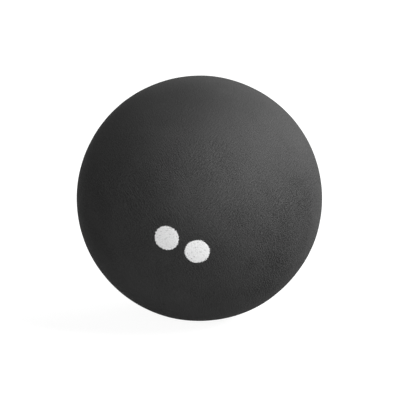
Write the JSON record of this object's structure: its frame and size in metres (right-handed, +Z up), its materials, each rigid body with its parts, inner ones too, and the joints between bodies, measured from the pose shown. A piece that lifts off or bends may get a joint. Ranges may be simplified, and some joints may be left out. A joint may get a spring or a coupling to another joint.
{
  "type": "squash ball",
  "caption": "Squash ball: hollow black rubber sphere of two half shells bonded rim to rim and buffed matt.",
  "frame": {"origin": "centre of the ball", "axes": "+Z up; +Y along the axis of the two half shells, from the front one to the rear one; the joint between them lies in the XZ plane; -Y is the side that the picture shows"},
  "size_m": [0.04, 0.04, 0.04],
  "materials": {
    "ball_rubber": "matte",
    "rubber_cement": "matte",
    "print_ink": "matte"
  },
  "bodies": {
    "root": {"front_half_shell": "ball_rubber", "rear_half_shell": "ball_rubber", "joint_cement": "rubber_cement"}
  },
  "joints": []
}
